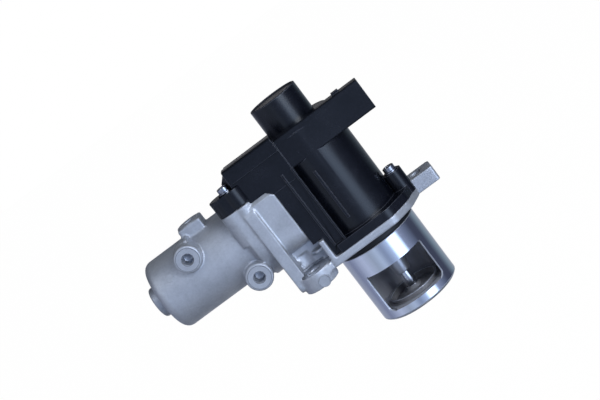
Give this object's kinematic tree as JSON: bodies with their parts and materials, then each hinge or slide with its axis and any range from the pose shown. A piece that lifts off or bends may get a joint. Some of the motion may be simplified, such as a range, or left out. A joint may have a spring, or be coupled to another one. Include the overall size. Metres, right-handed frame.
{
  "type": "egr valve",
  "caption": "Electric exhaust gas recirculation valve: cast motor and gear housing, moulded cover with connector, and a windowed flow cartridge with a poppet driven by a rack",
  "frame": {"origin": "on the valve axis in the plane of the two mounting ears' lower faces", "axes": "+Z along the valve stem away from the manifold, +X from the motor towards the connector, +Y away from the gas window"},
  "size_m": [0.1511, 0.0557, 0.1248],
  "materials": {
    "cast_aluminium": "fine-grained die-cast surface",
    "machined_aluminium": "turned and milled bright",
    "black_plastic": "satin black moulding",
    "steel": "ground",
    "zinc_steel": "bright zinc plated",
    "black_rubber": "moulded",
    "spring_steel": "shot-peened wire",
    "bronze": "sintered",
    "brass": "cut",
    "copper": "wound wire",
    "magnet": "sintered ferrite",
    "carbon": "pressed carbon",
    "gear_plastic": "natural polyamide",
    "circuit_board": "lacquered"
  },
  "bodies": {
    "housing": {"body_casting": "cast_aluminium", "drive_cover": "black_plastic", "sensor_cap": "black_plastic", "sensor_board": "circuit_board", "connector_pins": "brass", "cover_screws": "zinc_steel", "cover_gasket": "black_rubber", "flow_cartridge": "machined_aluminium", "seat_ring": "steel", "stem_guide": "steel", "stem_seal": "black_rubber", "flange_seal": "black_rubber", "return_spring": "spring_steel", "motor_can": "steel", "motor_magnets": "magnet", "brushes": "carbon", "brush_card": "black_plastic", "motor_end_plate": "steel", "rear_bearing": "bronze", "front_bearing": "bronze", "idler_pin": "steel", "shaft_bushes": "bronze"},
    "rotor": {"motor_shaft": "steel", "armature_core": "steel", "armature_windings": "copper", "commutator": "copper", "motor_pinion": "brass"},
    "idler": {"idler_gear": "gear_plastic"},
    "output": {"output_gear": "gear_plastic", "output_shaft": "steel", "rack_pinion": "steel"},
    "valve": {"valve_stem": "steel", "poppet_head": "steel", "stem_rack": "steel", "spring_retainer": "steel", "sensor_magnet": "magnet"}
  },
  "joints": [
    {"name": "rotor_spin", "type": "hinge", "parent": "housing", "child": "rotor", "pos_m": [-0.08, 0, 0.0371], "axis": [1, 0, 0], "range_deg": [0, 660]},
    {"name": "idler_spin", "type": "hinge", "parent": "housing", "child": "idler", "pos_m": [-0.037, -0.00618, 0.05197], "axis": [1, 0, 0], "range_deg": [-184, 0]},
    {"name": "output_turn", "type": "hinge", "parent": "housing", "child": "output", "pos_m": [-0.02, 0.0105, 0.054], "axis": [1, 0, 0], "range_deg": [0, 57.4]},
    {"name": "valve_slide", "type": "slide", "parent": "housing", "child": "valve", "axis": [0, 0, -1], "range_m": [0, 0.006], "deforming": ["return_spring"]}
  ],
  "couplings": [
    {"joint": "idler_spin", "follows": "rotor_spin", "ratio": -0.27778},
    {"joint": "output_turn", "follows": "rotor_spin", "ratio": 0.086806},
    {"joint": "valve_slide", "follows": "rotor_spin", "m_per_rad": 0.00052083}
  ]
}
